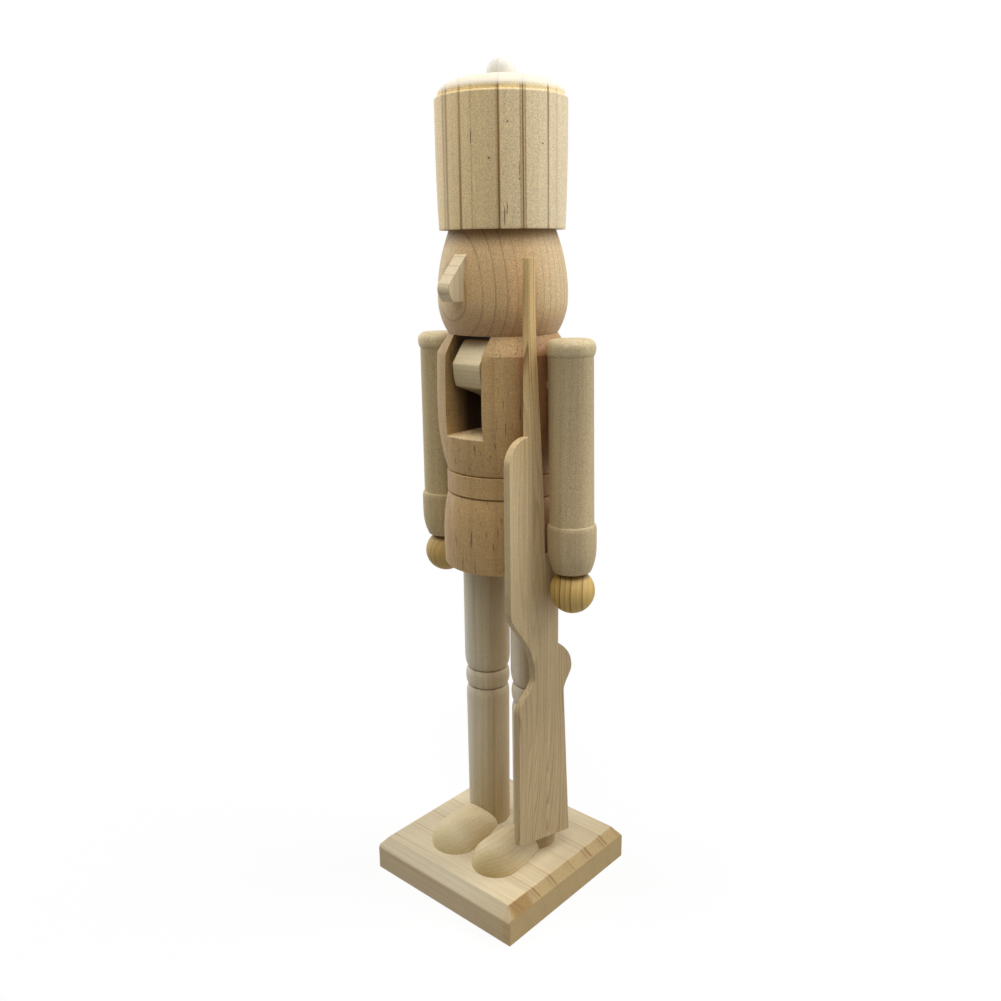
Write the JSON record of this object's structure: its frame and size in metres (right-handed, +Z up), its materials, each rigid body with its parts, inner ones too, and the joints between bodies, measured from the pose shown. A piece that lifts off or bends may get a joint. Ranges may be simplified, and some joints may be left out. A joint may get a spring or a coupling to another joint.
{
  "type": "nutcracker figure",
  "caption": "Bare wooden nutcracker soldier on a square base, with a tall hat and a rifle at its left side. Lifting the lever at its back drops the jaw.",
  "frame": {"origin": "Centre of the underside of the square base board, on the surface that the figure stands on.", "axes": "+Z is up along the figure. -Y is the way that the figure faces. +X is towards its left hand, the side with the rifle."},
  "size_m": [0.1066, 0.091, 0.3934],
  "materials": {
    "base_pine": "bare sanded wood, matt",
    "limb_basswood": "bare sanded wood, matt",
    "shoe_pine": "bare sanded wood, matt",
    "torso_beech": "bare sanded wood, matt",
    "jaw_basswood": "bare sanded wood, matt",
    "head_lime": "bare sanded wood, matt",
    "nose_pine": "bare sanded wood, matt",
    "hat_pine": "bare sanded wood, matt",
    "knob_birch": "bare sanded wood, matt",
    "hand_yellow_pine": "bare sanded wood, matt",
    "rifle_birch": "bare sanded wood, matt",
    "dowel_birch": "bare sanded wood, matt",
    "pin_steel": "plain drawn steel"
  },
  "bodies": {
    "figure": {"base_plate": "base_pine", "right_leg": "limb_basswood", "left_leg": "limb_basswood", "right_shoe": "shoe_pine", "left_shoe": "shoe_pine", "torso": "torso_beech", "jaw_pivot_pin": "pin_steel", "head": "head_lime", "nose": "nose_pine", "hat": "hat_pine", "hat_knob": "knob_birch", "right_arm": "limb_basswood", "left_arm": "limb_basswood", "right_hand": "hand_yellow_pine", "left_hand": "hand_yellow_pine", "rifle": "rifle_birch", "foot_dowels": "dowel_birch", "hip_dowels": "dowel_birch", "neck_dowels": "dowel_birch", "hat_dowel": "dowel_birch", "right_shoulder_dowel": "dowel_birch", "left_shoulder_dowel": "dowel_birch", "rifle_peg": "dowel_birch"},
    "jaw": {"jaw_lever": "jaw_basswood"}
  },
  "joints": [
    {"name": "jaw_hinge", "type": "hinge", "parent": "figure", "child": "jaw", "pos_m": [0.00225, 0.0106, 0.248], "axis": [1, 0, 0], "range_deg": [0, 30]}
  ]
}
